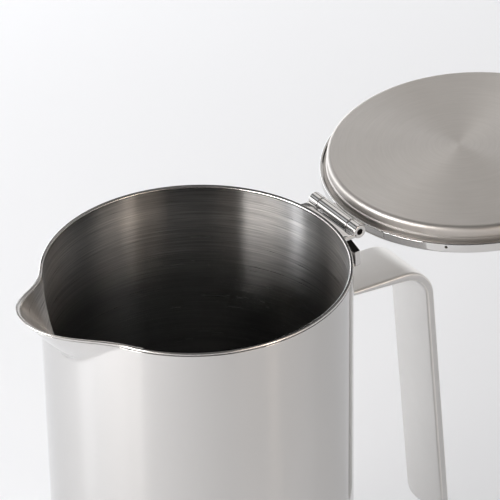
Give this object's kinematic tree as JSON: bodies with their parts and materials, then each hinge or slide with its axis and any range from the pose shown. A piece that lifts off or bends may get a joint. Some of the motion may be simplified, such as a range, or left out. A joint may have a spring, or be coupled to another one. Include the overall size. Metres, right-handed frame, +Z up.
{
  "type": "insulated jug",
  "caption": "Double-walled steel jug with a pouring spout, a flat strip handle open at its lower end and a hinged lid with a thumb lever, shown open.",
  "frame": {"origin": "on the jug's axis, at the flat face it stands on", "axes": "+Z up along the jug's axis, +X from the spout to the handle"},
  "size_m": [0.2236, 0.1008, 0.1743],
  "materials": {
    "polished_steel": "mirror-polished stainless steel",
    "brushed_liner": "stainless steel with fine brushing round the axis",
    "brushed_lid": "spin-brushed stainless steel with a polished edge",
    "satin_steel": "satin, bead-blasted stainless steel",
    "hinge_steel": "polished stainless steel",
    "plain_steel": "bare stainless steel",
    "foil": "bright foil",
    "foam": "insulating foam",
    "getter_alloy": "dark sintered pill"
  },
  "bodies": {
    "jug": {"outer_shell": "polished_steel", "inner_liner": "brushed_liner", "inner_bottom": "brushed_liner", "reflector_foil": "foil", "vacuum_base": "plain_steel", "vacuum_seal": "plain_steel", "getter": "getter_alloy", "base_cover": "polished_steel", "handle": "satin_steel", "hinge_bracket": "hinge_steel", "hinge_pin": "plain_steel"},
    "lid": {"lid_cover": "polished_steel", "lid_pan": "brushed_lid", "lid_insulation": "foam", "lid_leaf": "hinge_steel", "thumb_lever": "hinge_steel"}
  },
  "joints": [
    {"name": "lid_hinge", "type": "hinge", "parent": "jug", "child": "lid", "pos_m": [0.0547, 0, 0.1643], "axis": [0, -1, 0], "range_deg": [0, 176.4]}
  ]
}
